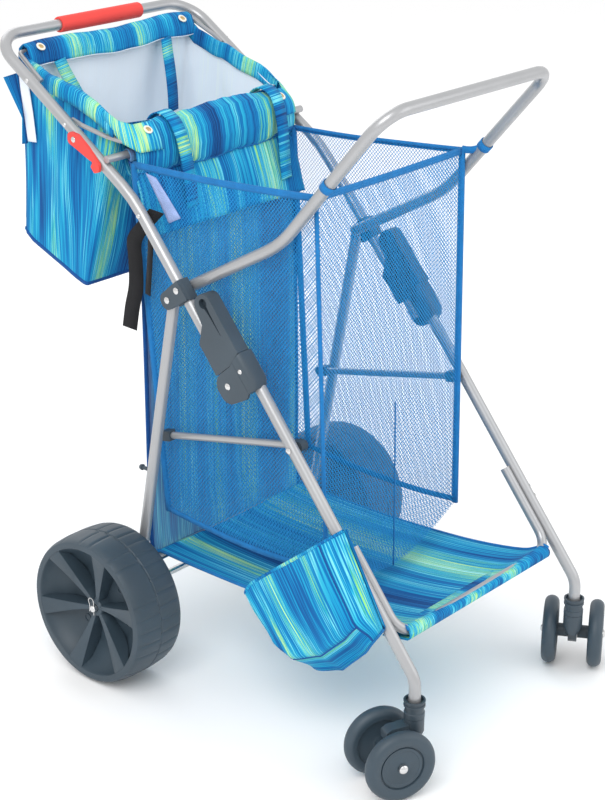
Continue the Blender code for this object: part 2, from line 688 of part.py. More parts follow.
def web_strap():
    """A hanging webbing strap on the right side, 25 mm wide."""
    centre = [(-0.0420, 0.7880), (-0.0100, 0.7480), (0.0020, 0.7150), (0.0010, 0.6800), (0.0170, 0.5850)]
    upper = [Vector(point) + Vector((-0.0115, -0.0030)) for point in centre]
    lower = [Vector(point) + Vector((0.0115, 0.0030)) for point in centre]
    strap = slab(upper + lower[::-1], -0.2108, -0.2086)
    finish(strap, "web_strap", "handle_frame", material("black_webbing", (0.012, 0.012, 0.014), 0.8))


# ---------------------------------------------------------------- assembly

def make_bodies():
    body("handle_frame", Vector((0, 0, 0)))
    body("front_frame", at(0.0, KNEE))
    body("rear_frame", at(0.0, SHOULDER))
    body("basket_frame", at(0.0, LOOP_ROOT))
    body("hook", at(-RAIL_X, HOOK_PIVOT))
    for word, side in SIDES:
        body("strut_" + word, at(side * STRUT_X, STRUT_FRONT))
        body("sleeve_" + word, at(side * RAIL_X, rail_point(0.06)))
        body("wheel_" + word, at(side * (WHEEL_OUT - WHEEL_WIDTH / 2), AXLE_AT))
        body("caster_" + word, at(side * LEG_X, (LEG_KNEE[0], 0.0)), math.radians(CASTER_TURN[word]))


def main():
    make_bodies()
    handle_tube()
    handle_grip()
    cross_tube()
    bag_supports()
    latch_hook()
    basket_loop()
    tray_loop()
    rear_axle()
    rear_cross_tube()
    catch_pin()
    for word, side in SIDES:
        rail_bracket(word, side)
        lock_sleeve(word, side)
        front_leg(word, side)
        knee_bracket(word, side)
        caster_socket(word, side)
        caster_fork(word)
        caster_axle(word)
        for which, sign in (("outer", -1), ("inner", 1)):
            caster_wheel(word, which, sign)
        side_strut(word, side)
        rear_leg(word, side)
        rear_wheel(word, side)
        cotter_pin(word, side)
    mesh_basket()
    tote_bag()
    sheet([(0.0240, 0.8460), (0.0140, 0.7800), (0.0060, 0.6000), (0.0040, 0.2000)], 0.004, SOFT_X,
          "rear_panel", "handle_frame", striped_cloth())
    sheet([(-0.0240, 0.1800), (-0.1300, 0.1850), (-0.2600, 0.1850), (-0.4000, 0.1900), (-0.5230, 0.2180)],
          0.006, SOFT_X, "tray_fabric", "front_frame", striped_cloth())
    side_pocket()
    web_strap()


main()
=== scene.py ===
"""Looks of the folding beach cart: cloth, mesh, moulded wheels, finishes, camera and light."""

import json
import math

import bmesh
import bpy
import numpy as np
from mathutils import Matrix, Vector, noise


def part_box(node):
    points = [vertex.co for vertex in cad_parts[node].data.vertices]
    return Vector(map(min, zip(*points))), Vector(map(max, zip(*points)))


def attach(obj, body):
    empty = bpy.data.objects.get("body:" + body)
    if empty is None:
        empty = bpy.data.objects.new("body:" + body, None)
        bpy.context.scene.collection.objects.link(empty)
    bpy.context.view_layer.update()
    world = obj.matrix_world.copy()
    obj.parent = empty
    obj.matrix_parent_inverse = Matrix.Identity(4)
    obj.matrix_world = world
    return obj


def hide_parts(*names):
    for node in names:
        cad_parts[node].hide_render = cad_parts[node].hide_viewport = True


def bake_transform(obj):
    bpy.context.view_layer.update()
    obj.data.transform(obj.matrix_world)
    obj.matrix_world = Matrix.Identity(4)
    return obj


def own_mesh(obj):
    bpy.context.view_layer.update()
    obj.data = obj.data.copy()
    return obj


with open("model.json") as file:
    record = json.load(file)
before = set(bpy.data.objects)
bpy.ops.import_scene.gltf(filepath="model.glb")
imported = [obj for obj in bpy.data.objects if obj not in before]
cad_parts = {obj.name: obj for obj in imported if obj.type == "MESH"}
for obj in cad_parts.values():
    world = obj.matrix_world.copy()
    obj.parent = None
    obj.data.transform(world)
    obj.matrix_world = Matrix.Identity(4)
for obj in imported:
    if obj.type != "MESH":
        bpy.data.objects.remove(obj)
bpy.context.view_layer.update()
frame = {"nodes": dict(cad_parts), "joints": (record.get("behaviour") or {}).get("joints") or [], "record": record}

# ---------------------------------------------------------------- places taken from the frame


def middle(node):
    low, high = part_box(node)
    return (low + high) / 2


def between(first, second, share):
    return first + (second - first) * share


AXLE_Y = middle("rear_axle").y
X_AXIS, UP = Vector((1, 0, 0)), Vector((0, 0, 1))
SIDES = (("right", -1), ("left", 1))


def at(x, y, z):
    """World point from a place measured back from the rear axle."""
    return Vector((x, y + AXLE_Y, z))


# ---------------------------------------------------------------- mesh helpers

def smooth_faces(obj):
    obj.data.polygons.foreach_set("use_smooth", [True] * len(obj.data.polygons))


def lengths(points):
    """The distance run along a line at each of its points."""
    run = [0.0]
    for first, second in zip(points, points[1:]):
        run.append(run[-1] + (second - first).length)
    return run


def add_mesh(name, points, faces, uvs=None, smooth=True):
    """A new mesh object. uvs holds one pair for each point."""
    mesh = bpy.data.meshes.new(name)
    mesh.from_pydata([tuple(point) for point in points], [], [tuple(face) for face in faces])
    if uvs is not None:
        layer = mesh.uv_layers.new(name="cloth")
        loops = np.zeros(len(mesh.loops), np.int32)
        mesh.loops.foreach_get("vertex_index", loops)
        layer.data.foreach_set("uv", np.asarray(uvs, np.float32)[loops].ravel())
    made = bpy.data.objects.new(name, mesh)
    if smooth:
        smooth_faces(made)
    mesh.update()
    bpy.context.scene.collection.objects.link(made)
    return made


def ring_faces(rings, count, closed=True, turned=False):
    """Quads between rows of count points each.

    closed joins the two ends of every row, and turned joins the last row to the first."""
    faces = []
    for ring in range(rings if turned else rings - 1):
        here, ahead = ring * count, (ring + 1) % rings * count
        for index in range(count if closed else count - 1):
            after = (index + 1) % count
            faces.append((here + index, here + after, ahead + after, ahead + index))
    return faces


def patch(name, surface, across, along, size, offset=(0.0, 0.0)):
    """A grid over surface(s, t), s and t from 0 to 1. size is its width and length in the UVs."""
    points, uvs = [], []
    for row in range(along + 1):
        for column in range(across + 1):
            s, t = column / across, row / along
            points.append(surface(s, t))
            uvs.append((offset[0] + s * size[0], offset[1] + t * size[1]))
    return add_mesh(name, points, ring_faces(along + 1, across + 1, closed=False), uvs)


def thicken(obj, thickness):
    """Gives a surface its thickness, half to each side."""
    step = obj.modifiers.new("cloth_thickness", "SOLIDIFY")
    step.thickness = thickness
    step.offset = 0.0
    return obj


def join(objects, name):
    """Joins meshes into the first one."""
    bpy.ops.object.select_all(action="DESELECT")
    for obj in objects:
        obj.select_set(True)
    bpy.context.view_layer.objects.active = objects[0]
    bpy.ops.object.join()
    objects[0].name = name
    return objects[0]


def applied(obj):
    """The same object with its modifiers applied."""
    bpy.context.view_layer.update()
    graph = bpy.context.evaluated_depsgraph_get()
    mesh = bpy.data.meshes.new_from_object(obj.evaluated_get(graph), preserve_all_data_layers=True,
                                           depsgraph=graph)
    obj.modifiers.clear()
    obj.data = mesh
    return obj


def ribbon(name, centre, half_width, thickness, side, offset=(0.0, 0.0)):
    """A flat strap along centre points. side is its width direction."""
    points, uvs = [], []
    across = side.normalized() * half_width
    for point, length in zip(centre, lengths(centre)):
        for sign in (-1, 1):
            points.append(point + across * sign)
            uvs.append((offset[0] + length, offset[1] + sign * half_width))
    return thicken(add_mesh(name, points, ring_faces(len(centre), 2, closed=False), uvs), thickness)


def tube_band(points, radius):
    """A thin rolled edge along points, as a mesh with UVs along it."""
    sides = 6
    made, uvs = [], []
    for index, (point, length) in enumerate(zip(points, lengths(points))):
        ahead = (points[min(index + 1, len(points) - 1)] - points[max(index - 1, 0)]).normalized()
        reference = UP if abs(ahead.z) < 0.95 else Vector((0, 1, 0))
        across = ahead.cross(reference).normalized()
        upward = across.cross(ahead) * 1.5
        for side in range(sides):
            angle = 2 * math.pi * side / sides
            made.append(point + (across * math.cos(angle) + upward * math.sin(angle)) * radius)
            uvs.append((length, side / sides * 0.02))
    return add_mesh("rolled_edge", made, ring_faces(len(points), sides), uvs)


def flat_band(points):
    """A folded edge binding along a steep line."""
    outline = [(-0.0035, -0.0016), (0.0035, -0.0016), (0.0040, 0.0), (0.0035, 0.0016),
               (-0.0035, 0.0016)]
    made = [point + Vector((x, y, 0)) for point in points for x, y in outline]
    uvs = [(length, number * 0.004) for length in lengths(points) for number in range(len(outline))]
    return add_mesh("edge_binding", made, ring_faces(len(points), len(outline)), uvs)


def outward(obj):
    """Merges points that coincide and turns all faces outward."""
    shape = bmesh.new()
    shape.from_mesh(obj.data)
    bmesh.ops.remove_doubles(shape, verts=shape.verts, dist=1e-6)
    bmesh.ops.recalc_face_normals(shape, faces=shape.faces)
    shape.to_mesh(obj.data)
    shape.free()
    smooth_faces(obj)
    return obj


def spin(name, profile, steps, place, closed=True, wobble=None):
    """A shape turned about X from (radius, height) pairs.

    wobble(angle, radius, height) may return another pair."""
    points = []
    for step in range(steps):
        angle = 2 * math.pi * step / steps
        for radius, height in profile:
            r, h = wobble(angle, radius, height) if wobble else (radius, height)
            points.append(place + Vector((h, r * math.cos(angle), r * math.sin(angle))))
    return outward(add_mesh(name, points, ring_faces(steps, len(profile), closed, turned=True)))


def crisp(obj, angle):
    """Smooth shading that keeps edges sharper than angle."""
    step = obj.modifiers.new("crisp", "EDGE_SPLIT")
    step.split_angle = math.radians(angle)
    return obj


# ---------------------------------------------------------------- materials

class Nodes:
    """A small helper that builds one node material."""

    def __init__(self, name):
        self.material = bpy.data.materials.new(name)
        self.material.use_nodes = True
        self.tree = self.material.node_tree
        self.shader = self.tree.nodes["Principled BSDF"]

    def set(self, **values):
        for key, value in values.items():
            self.shader.inputs[key.replace("_", " ")].default_value = value

    def add(self, kind, settings=(), **inputs):
        """A new node. settings holds (attribute, value) pairs; the named inputs get their values."""
        made = self.tree.nodes.new(kind)
        for key, value in settings:
            setattr(made, key, value)
        for key, value in inputs.items():
            made.inputs[key.replace("_", " ")].default_value = value
        return made

    def link(self, source, target):
        self.tree.links.new(source, target)

    def coordinates(self, scale, source="Object"):
        place = self.add("ShaderNodeTexCoord")
        mapping = self.add("ShaderNodeMapping", Scale=scale)
        self.link(place.outputs[source], mapping.inputs["Vector"])
        return mapping.outputs["Vector"]

    def noise(self, vector, scale, detail=3.0, roughness=0.5):
        made = self.add("ShaderNodeTexNoise", Scale=scale, Detail=detail, Roughness=roughness)
        self.link(vector, made.inputs["Vector"])
        return made.outputs["Fac"]

    def wave(self, vector, scale, direction="X", distortion=0.0):
        settings = [("bands_direction", direction)]
        made = self.add("ShaderNodeTexWave", settings, Scale=scale, Distortion=distortion)
        self.link(vector, made.inputs["Vector"])
        return made.outputs["Fac"]

    def math(self, operation, first, second):
        made = self.add("ShaderNodeMath", [("operation", operation)])
        for socket, value in zip(made.inputs, (first, second)):
            if isinstance(value, (int, float)):
                socket.default_value = value
            else:
                self.link(value, socket)
        return made.outputs[0]

    def ramp(self, fac, stops):
        made = self.add("ShaderNodeValToRGB")
        elements = made.color_ramp.elements
        while len(elements) < len(stops):
            elements.new(0.5)
        for element, (place, colour) in zip(elements, stops):
            element.position = place
            element.color = (*colour, 1.0)
        self.link(fac, made.inputs["Fac"])
        return made.outputs["Color"]

    def bump(self, height, strength, distance):
        made = self.add("ShaderNodeBump", Strength=strength, Distance=distance)
        self.link(height, made.inputs["Height"])
        self.link(made.outputs["Normal"], self.shader.inputs["Normal"])

    def remap(self, fac, settings=(), **limits):
        made = self.add("ShaderNodeMapRange", settings, **limits)
        self.link(fac, made.inputs["Value"])
        return made.outputs["Result"]


def tinted(colour, share):
    return tuple(channel * share for channel in colour)


def grained(name, colour, roughness, metallic, grain, depth, spread):
    """A moulded or painted surface: slight colour drift, fine grain in its bump and its roughness."""
    made = Nodes(name)
    made.set(Metallic=metallic)
    space = made.coordinates((1, 1, 1))
    drift = made.noise(space, 9.0, 4.0)
    fine = made.noise(space, grain, 3.0)
    colour = made.ramp(drift, [(0.3, tinted(colour, 1 - spread)), (0.7, tinted(colour, 1 + spread))])
    made.link(colour, made.shader.inputs["Base Color"])
    rough = made.remap(fine, To_Min=roughness - 0.08, To_Max=roughness + 0.08)
    made.link(rough, made.shader.inputs["Roughness"])
    made.bump(fine, 0.35, depth)
    return made.material


STREAKS = [(0.00, (0.002, 0.040, 0.160)), (0.18, (0.002, 0.085, 0.290)), (0.31, (0.003, 0.155, 0.410)),
           (0.43, (0.004, 0.220, 0.490)), (0.52, (0.008, 0.310, 0.560)), (0.60, (0.030, 0.450, 0.640)),
           (0.66, (0.200, 0.680, 0.760)), (0.71, (0.008, 0.350, 0.380)), (0.77, (0.290, 0.680, 0.200)),
           (0.84, (0.560, 0.820, 0.360)), (0.91, (0.060, 0.480, 0.420)), (1.00, (0.380, 0.800, 0.820))]


def streaked_cloth(name, light=0.0, lining=False):
    """Woven polyester printed with fine streaks. The UVs are in metres, u across the streaks."""
    made = Nodes(name)
    made.set(Roughness=0.86, Sheen_Weight=0.03, Specular_IOR_Level=0.22)
    wide = made.coordinates((13.0, 1.2, 1.0), "UV")
    thin = made.coordinates((520.0, 5.0, 1.0), "UV")
    weave = made.coordinates((1.0, 1.0, 1.0), "UV")
    zones = made.noise(wide, 1.0, 2.0, 0.6)
    lines = made.noise(thin, 1.0, 1.0, 0.5)
    sharp = made.remap(lines, [("interpolation_type", "SMOOTHSTEP")], From_Min=0.40, From_Max=0.60)
    mixed = made.math("ADD", made.math("MULTIPLY", zones, 1.6), made.math("MULTIPLY", sharp, 0.21))
    spread = made.remap(mixed, From_Min=0.58, From_Max=1.29)
    stops = STREAKS
    if lining:
        stops = [(place, (0.80 + 0.06 * red, 0.85 + 0.06 * green, 0.90 + 0.06 * blue))
                 for place, (red, green, blue) in STREAKS]
    elif light:
        stops = [(place, tuple(between(c, 0.62, light) for c in colour)) for place, colour in STREAKS]
    made.link(made.ramp(spread, stops), made.shader.inputs["Base Color"])
    warp = made.wave(weave, 260.0, "X")
    weft = made.wave(weave, 260.0, "Y")
    made.bump(made.math("MULTIPLY", warp, weft), 0.30, 0.0003)
    return made.material


def plain_cloth(name, colour, ribs, roughness=0.85):
    """A plain narrow fabric, such as binding or webbing, with ribs along it."""
    made = Nodes(name)
    made.set(Roughness=roughness, Sheen_Weight=0.04, Specular_IOR_Level=0.25)
    space = made.coordinates((1, 1, 1), "UV")
    ribs = made.wave(space, ribs, "X", 0.4)
    drift = made.noise(space, 60.0, 3.0)
    mixed = made.math("ADD", made.math("MULTIPLY", ribs, 0.5), made.math("MULTIPLY", drift, 0.5))
    colour = made.ramp(mixed, [(0.2, tinted(colour, 0.62)), (0.8, tinted(colour, 1.25))])
    made.link(colour, made.shader.inputs["Base Color"])
    made.bump(ribs, 0.45, 0.0005)
    return made.material


# Material name, colour, roughness, metallic share, grain scale, grain depth and colour drift.
HARD = {"silver_tube": ("silver_paint", (0.40, 0.405, 0.415), 0.34, 0.55, 900.0, 0.00008, 0.04),
        "grey_plastic": ("slate_plastic", (0.039, 0.058, 0.076), 0.44, 0.0, 1400.0, 0.00015, 0.12),
        "wheel_plastic": ("wheel_plastic", (0.034, 0.056, 0.076), 0.48, 0.0, 1100.0, 0.00020, 0.14),
        "red_foam": ("red_foam", (0.78, 0.055, 0.045), 0.72, 0.0, 700.0, 0.00060, 0.06),
        "red_plastic": ("red_plastic", (0.74, 0.050, 0.040), 0.38, 0.0, 900.0, 0.00010, 0.05),
        "steel": ("plated_steel", (0.66, 0.66, 0.66), 0.26, 1.0, 1200.0, 0.00005, 0.05),
        "brass": ("snap_brass", (0.55, 0.40, 0.20), 0.3, 1.0, 900.0, 0.00005, 0.1),
        "washer": ("snap_washer", (0.78, 0.74, 0.64), 0.55, 0.0, 900.0, 0.00005, 0.05)}
# Material name, colour, scale of the ribs and, where it isn't the usual one, roughness.
NARROW = {"net": ("net_thread", (0.012, 0.270, 0.640), 500.0),
          "binding": ("binding", (0.014, 0.190, 0.500), 420.0),
          "navy": ("navy_binding", (0.008, 0.085, 0.310), 420.0),
          "webbing": ("black_webbing", (0.014, 0.014, 0.016), 330.0, 0.8),
          "pale_tape": ("pale_tape", (0.36, 0.47, 0.80), 500.0)}
MATERIALS = {name: grained(*values) for name, values in HARD.items()}
MATERIALS.update({name: plain_cloth(*values) for name, values in NARROW.items()})
MATERIALS["streaks"] = streaked_cloth("streaked_cloth")
MATERIALS["streaks_pale"] = streaked_cloth("streaked_cloth_pale", light=0.18)
MATERIALS["lining"] = streaked_cloth("lining_cloth", lining=True)
# Thicknesses of the sewn pieces: doubled, single and light cloth.
DOUBLED, SINGLE, LIGHT = 0.0018, 0.0016, 0.0014


def paint(obj, name):
    obj.data.materials.clear()
    obj.data.materials.append(MATERIALS[name])
    return obj


# ---------------------------------------------------------------- CAD nodes that stay

def dress_cad():
    """Gives each CAD node that stays its finish and clean shading."""
    slots = {part["node"]: part["material_slot"] for part in frame["record"]["subparts"]}
    for name, obj in frame["nodes"].items():
        if slots[name] not in MATERIALS:
            continue
        paint(obj, slots[name])
        smooth_faces(obj)
        weld = obj.modifiers.new("weld", "WELD")
        weld.merge_threshold = 0.00001
        crisp(obj, 40)


# ---------------------------------------------------------------- camera, light, floor

FLOOR = 8


def make_camera():
    data = bpy.data.cameras.new("camera")
    camera = bpy.data.objects.new("camera", data)
    bpy.context.scene.collection.objects.link(camera)
    data.sensor_width = 36.0
    data.lens = 85.18
    data.shift_x = 0.0429
    data.shift_y = -0.0775
    data.clip_end = 60.0
    camera.location = at(-2.1975, -2.0648, 1.6212)
    camera.rotation_euler = (math.radians(69.815), 0.0, math.radians(-48.12))
    bpy.context.scene.camera = camera


# Name, place, target, size in metres and power in watts.
LAMPS = [("key", (-2.6, -1.2, 3.2), (0, 0, 0.5), 2.6, 68.0),
         ("fill", (1.6, -3.2, 2.2), (0, 0, 0.5), 3.0, 26.0),
         ("back", (1.2, 3.0, 2.6), (0, 0, 0.6), 2.5, 22.0)]


def area_light(name, place, target, size, power):
    data = bpy.data.lights.new(name, "AREA")
    data.shape = "DISK"
    data.size = size
    data.energy = power
    lamp = bpy.data.objects.new(name, data)
    lamp.location = place
    lamp.rotation_euler = (Vector(target) - Vector(place)).to_track_quat("-Z", "Y").to_euler()
    bpy.context.scene.collection.objects.link(lamp)


def make_studio():
    scene = bpy.context.scene
    scene.view_settings.view_transform = "Standard"
    world = bpy.data.worlds.new("studio")
    world.use_nodes = True
    background = world.node_tree.nodes["Background"]
    background.inputs["Color"].default_value = (1.0, 1.0, 1.0, 1.0)
    background.inputs["Strength"].default_value = 1.0
    scene.world = world
    corners = [(-FLOOR, -FLOOR, 0), (FLOOR, -FLOOR, 0), (FLOOR, FLOOR, 0), (-FLOOR, FLOOR, 0)]
    floor = add_mesh("floor", corners, [(0, 1, 2, 3)], smooth=False)
    floor.location.z = -0.0006
    look = Nodes("floor_white")
    look.set(Roughness=0.9, Base_Color=(0.97, 0.97, 0.97, 1.0))
    floor.data.materials.append(look.material)
    for lamp in LAMPS:
        area_light(*lamp)


# ---------------------------------------------------------------- wheels

TREAD_BARS = 34


def rear_wheel(word, side):
    """A wide moulded wheel: barred tread with a centre seam, and six tapering fins in a deep dish."""
    low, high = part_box("rear_wheel_" + word)
    centre = (low + high) / 2
    half = (high.x - low.x) / 2
    outer = (high.z - low.z) / 2

    def tread(angle, radius, height):
        if radius < outer - 0.006 or abs(height) > half - 0.004:
            return radius, height
        phase = (angle * TREAD_BARS / (2 * math.pi) + (0.5 if height * side < 0 else 0.0)) % 1.0
        groove = 0.0014 if phase < 0.14 else 0.0
        seam = 0.0010 if abs(height) < 0.0012 else 0.0
        return radius - groove - seam, height

    shoulder = [(0.1175, 0.0), (0.1208, 0.0008), (0.1228, 0.0040), (outer - 0.0022, 0.0100),
                (outer - 0.0010, 0.0200), (outer, 0.0320)]
    profile = [(r, half - depth) for r, depth in shoulder]
    profile += [(outer, 0.0022), (outer, 0.0011), (outer, -0.0011), (outer, -0.0022)]
    profile += [(r, depth - half) for r, depth in reversed(shoulder)]
    profile += [(0.1060, -half), (0.1020, -half + 0.0060), (0.0300, -half + 0.0060),
                (0.0240, -half + 0.0010), (0.0066, -half + 0.0010), (0.0066, half - 0.0220),
                (0.0135, half - 0.0220), (0.0150, half - 0.0240), (0.0165, half - 0.0420),
                (0.0680, half - 0.0420), (0.0980, half - 0.0240), (0.1090, half - 0.0040),
                (0.1098, half - 0.0010), (0.1108, half)]
    profile = [(r, side * h) for r, h in profile]
    pieces = [spin("wheel_shell", profile, TREAD_BARS * 7, centre, wobble=tread)]
    for index in range(6):
        pieces.append(wheel_fin(centre, side, half, math.radians(45 + 60 * index)))
        pieces.append(web_hole(centre, side, half, math.radians(15 + 60 * index)))
    wheel = crisp(join(pieces, "moulded_wheel_" + word), 32)
    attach(paint(wheel, "wheel_plastic"), "wheel_" + word)
    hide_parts("rear_wheel_" + word)


def wheel_fin(centre, side, half, angle):
    """A flat-topped fin, narrow at the hub, that spreads and rises to join the rim."""
    rows, wide = 10, 6
    points = []
    out = Vector((0, math.cos(angle), math.sin(angle)))
    along_rim = Vector((0, -math.sin(angle), math.cos(angle)))
    for row in range(rows):
        share = row / (rows - 1)
        radius = 0.0130 + 0.0985 * share
        width = 0.0036 + 0.0125 * share ** 1.4
        crest = half - 0.0225 + 0.0221 * share ** 1.2
        foot = half - 0.0430 + 0.0385 * share ** 3.5
        lean = 0.004 * share
        for across, height in ((-1.12, foot), (-1.0, crest - 0.0006), (-0.9, crest), (0.9, crest),
                               (1.0, crest - 0.0006), (1.12, foot)):
            points.append(centre + out * radius + along_rim * (width * across + lean)
                          + Vector((side * height, 0, 0)))
    ends = [tuple(range(wide)), tuple((rows - 1) * wide + column for column in reversed(range(wide)))]
    return outward(add_mesh("fin", points, ring_faces(rows, wide) + ends))


def web_hole(centre, side, half, angle):
    """A round boss with a deep blind hole in the wheel's web."""
    around = Vector((0, math.cos(angle), math.sin(angle))) * 0.0570
    place = centre + X_AXIS * (side * (half - 0.0420)) + around
    profile = [(0.0, -0.0140), (0.0054, -0.0140), (0.0058, 0.0012), (0.0072, 0.0012), (0.0080, -0.0004)]
    return spin("hole", [(r, side * h) for r, h in profile], 20, place, closed=False)


def caster_wheel(word, which):
    """A small wheel: rounded tyre, stepped disc with fine rings, hub."""
    node = f"caster_wheel_{word}_{which}"
    joint = next(j for j in frame["joints"] if j["child"] == node + "_body")
    axis = Vector(joint["axis"])
    centre = Vector(joint["pos_m"])
    sign = -1 if which == "outer" else 1
    low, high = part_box(node)
    outer = (high.z - low.z) / 2
    half = 0.012
    hub = 0.0300
    bulge = 0.0105
    angles = [math.pi * index / 10 for index in range(11)]
    tyre = [(outer - bulge + bulge * math.sin(angle), half * math.cos(angle)) for angle in angles]
    face = [(0.0043, half - 0.0046), (0.0150, half - 0.0046), (0.0156, half - 0.0050),
            (0.0280, half - 0.0050), (0.0286, half - 0.0044), (0.0330, half - 0.0044),
            (0.0336, half - 0.0062), (0.0352, half - 0.0062), (0.0360, half - 0.0030),
            (0.0400, half - 0.0004)]
    inner = [(0.0400, -half + 0.0010), (0.0370, -half + 0.0060), (0.0140, -half + 0.0060),
             (0.0110, -half + 0.0040), (0.0110, -hub), (0.0043, -hub)]
    wheel = spin("caster_tyre", [(r, sign * h) for r, h in face + tyre + inner], 56, Vector((0, 0, 0)))
    turn = X_AXIS.rotation_difference(axis).to_matrix().to_4x4()
    wheel.data.transform(Matrix.Translation(centre) @ turn)
    wheel.name = "small_wheel_" + word + "_" + which
    crisp(wheel, 38)
    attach(paint(wheel, "wheel_plastic"), node + "_body")
    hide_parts(node)


# ---------------------------------------------------------------- mesh basket

BASKET_TOP = {("rear", -1): (0.022, 0.8520), ("rear", 1): (0.016, 0.8430),
              ("front", -1): (-0.356, 0.8690), ("front", 1): (-0.340, 0.8650)}
BASKET_FOOT = {("rear", -1): (-0.030, 0.2620), ("rear", 1): (-0.034, 0.2620),
               ("front", -1): (-0.374, 0.2600), ("front", 1): (-0.360, 0.2580)}
TOP_X, FOOT_X = 0.1880, 0.1760
FLOOR_SAG = 0.050
NET_CELL = (0.0066, 0.0072)
NET_HOLE = 0.79


def corner(end, side, high):
    y, z = (BASKET_TOP if high else BASKET_FOOT)[end, side]
    return at(side * (TOP_X if high else FOOT_X), y, z)


def wall(first, second, rim_sag, swell, foot_sag):
    """A basket wall between two corner posts: s runs along it, t from its foot to its rim."""
    a, b = corner(*first, False), corner(*second, False)
    c, d = corner(*first, True), corner(*second, True)
    out = (b - a).cross(UP).normalized()

    def surface(s, t, lift=0.0):
        point = (a.lerp(b, s)).lerp(c.lerp(d, s), t)
        bow = math.sin(math.pi * s)
        point.z -= rim_sag * bow * t ** 3 + foot_sag * bow * (1 - t) ** 4
        point += out * (swell * bow * math.sin(math.pi * min(1.0, t * 1.02)) + lift)
        fold = noise.noise(Vector((s * 2.3 + first[1], t * 2.0, rim_sag * 90)))
        return point + out * (0.0035 * fold * bow)
    return surface


def net(surface, width, height):
    """Points, faces and UVs of a knitted net with diamond holes over a surface."""
    points, faces, uvs = [], [], []
    columns, rows = int(width / NET_CELL[0] * 2), int(height / NET_CELL[1] * 2)
    half_s, half_t = 1 / columns, 1 / rows
    known = {}

    def corner_of(i, j):
        if (i, j) not in known:
            known[i, j] = len(points)
            points.append(surface(i * half_s, j * half_t))
            uvs.append((i * half_s * width, j * half_t * height))
        return known[i, j]

    for j in range(1, rows):
        for i in range(1 + (j % 2), columns, 2):
            ring = [corner_of(i - 1, j), corner_of(i, j - 1), corner_of(i + 1, j), corner_of(i, j + 1)]
            hole = []
            for di, dj in ((-1, 0), (0, -1), (1, 0), (0, 1)):
                s, t = (i + di * NET_HOLE) * half_s, (j + dj * NET_HOLE) * half_t
                hole.append(len(points))
                points.append(surface(s, t))
                uvs.append((s * width, t * height))
            for k in range(4):
                after = (k + 1) % 4
                faces.append((ring[k], ring[after], hole[after], hole[k]))
    return points, faces, uvs


def strip(surface, s_range, t_range, lift, count, size):
    """A band of cloth laid on a wall."""
    def band(s, t):
        return surface(between(*s_range, s), between(*t_range, t), lift)
    return patch("band", band, *count, size)


def slanted(surface):
    """A tape sewn at a slant on a wall, from its rim down."""
    def tape(s, t):
        left, right = 0.195 - 0.116 * t, 0.268 - 0.130 * t
        rise, far_rise = 0.859 + 0.124 * t, 0.881 + 0.095 * t
        return surface(between(left, right, s), between(rise, far_rise, s), 0.0036)
    return tape


# The two corner posts of each wall, then its rim's sag, its swell and its foot's sag.
WALLS = {"near": (("rear", -1), ("front", -1), 0.004, 0.005, 0.010),
         "front": (("front", -1), ("front", 1), 0.002, 0.004, FLOOR_SAG),
         "far": (("front", 1), ("rear", 1), 0.003, 0.005, 0.010),
         "rear": (("rear", 1), ("rear", -1), 0.010, -0.002, FLOOR_SAG * 0.8)}


def mesh_basket():
    points, faces, uvs, bands = [], [], [], []

    def floor_surface(s, t):
        a, b = corner("rear", -1, False), corner("front", -1, False)
        c, d = corner("rear", 1, False), corner("front", 1, False)
        point = a.lerp(b, s).lerp(c.lerp(d, s), t)
        deep = FLOOR_SAG * (0.8 + 0.2 * s) * math.sin(math.pi * t)
        point.z -= deep + 0.010 * math.sin(math.pi * s)
        return point

    def add_net(surface, width, height):
        more, cells, pairs = net(surface, width, height)
        base = len(points)
        points.extend(more)
        uvs.extend(pairs)
        faces.extend(tuple(index + base for index in cell) for cell in cells)

    for name, (first, second, rim_sag, swell, foot_sag) in WALLS.items():
        surface = wall(first, second, rim_sag, swell, foot_sag)
        width = (corner(*first, True) - corner(*second, True)).length
        add_net(surface, width, 0.61)
        low, high = corner(*first, False), corner(*first, True)
        post = [low.lerp(high, k / 20) for k in range(21)]
        bands.append(tube_band(post, 0.0022 if name == "front" else 0.0036))
        bands.append(strip(surface, (0.0, 1.0), (0.988, 1.001), 0.0016, (30, 2), (width, 0.008)))
        if name in ("near", "far"):
            bands.append(strip(surface, (0.0, 1.0), (0.0, 0.016), 0.0014, (24, 1), (width, 0.012)))
        if name == "front":
            bands.append(strip(surface, (0.4965, 0.5035), (0.0, 0.40), 0.0008, (1, 20), (0.003, 0.24)))
        if name == "near":
            tape = patch("basket_tape", slanted(surface), 4, 10, (0.022, 0.08))
            thicken(tape, 0.0010)
            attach(paint(tape, "pale_tape"), "handle_frame")
            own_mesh(tape)
        bands.append(tube_band([surface(s / 24, 1.0) for s in range(25)], 0.0020))
    add_net(floor_surface, 0.33, 0.35)
    basket = add_mesh("basket_net", points, faces, uvs)
    paint(basket, "net")
    trim = join([applied(thicken(band, 0.0012)) for band in bands], "basket_binding")
    paint(trim, "binding")
    for piece in (basket, trim):
        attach(piece, "handle_frame")
        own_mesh(piece)
    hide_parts("mesh_basket")


